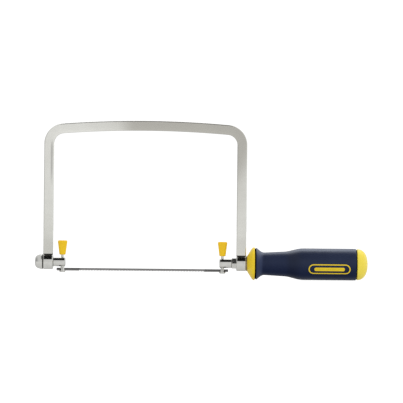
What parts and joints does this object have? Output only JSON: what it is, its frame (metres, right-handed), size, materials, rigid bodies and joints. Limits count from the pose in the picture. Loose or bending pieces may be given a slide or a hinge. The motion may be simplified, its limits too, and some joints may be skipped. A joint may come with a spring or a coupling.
{
  "type": "coping saw",
  "caption": "Hand saw with a deep bow frame, a narrow pinned blade between two swivelling spigots with lever grips, and a screw-tensioned two-colour handle.",
  "frame": {"origin": "On the spigot axis, at the middle of the straight palm swell of the handle", "axes": "+X along the spigot axis towards the rear end of the handle; +Z from the spigot axis up to the bow; +Y across the saw, completing a right-handed frame. The saw is drawn with a tensioned blade, teeth pointing away from the bow."},
  "size_m": [0.326, 0.0322, 0.1549],
  "materials": {
    "nickel_plated_steel": "satin nickel plating",
    "chrome_plated_steel": "polished chrome plating",
    "blade_steel": "blued spring steel",
    "dark_steel": "oiled dark steel",
    "brass": "plain turned brass",
    "yellow_plastic": "semi-gloss moulded plastic",
    "navy_rubber": "soft matt moulded elastomer"
  },
  "bodies": {
    "frame": {"bow": "nickel_plated_steel", "front_barrel": "chrome_plated_steel", "rear_barrel": "chrome_plated_steel", "thrust_washer": "brass"},
    "front_swivel": {"front_spigot": "chrome_plated_steel", "front_washer": "dark_steel", "front_dome_nut": "chrome_plated_steel", "front_lever_pin": "chrome_plated_steel", "front_lever_grip": "yellow_plastic", "blade": "blade_steel", "blade_pins": "dark_steel"},
    "draw_stud": {"draw_stud": "chrome_plated_steel", "snap_ring": "dark_steel"},
    "rear_swivel": {"rear_spigot": "chrome_plated_steel", "rear_lever_pin": "chrome_plated_steel", "rear_lever_grip": "yellow_plastic"},
    "handle": {"handle_insert": "brass", "handle_core": "yellow_plastic", "handle_sleeve": "navy_rubber", "handle_end_cap": "yellow_plastic"}
  },
  "joints": [
    {"name": "blade_turn", "type": "hinge", "parent": "frame", "child": "front_swivel", "pos_m": [-0.2742, 0, 0], "axis": [1, 0, 0], "continuous": true},
    {"name": "handle_turn", "type": "hinge", "parent": "frame", "child": "handle", "pos_m": [0, 0, 0], "axis": [1, 0, 0], "range_deg": [0, 1440]},
    {"name": "draw_slide", "type": "slide", "parent": "frame", "child": "draw_stud", "axis": [1, 0, 0], "range_m": [-0.00401, 0]},
    {"name": "rear_turn", "type": "hinge", "parent": "draw_stud", "child": "rear_swivel", "pos_m": [-0.1034, 0, 0], "axis": [1, 0, 0], "continuous": true}
  ],
  "couplings": [
    {"joint": "draw_slide", "follows": "handle_turn", "m_per_rad": -0.00015915},
    {"joint": "rear_turn", "follows": "blade_turn", "ratio": 1}
  ]
}
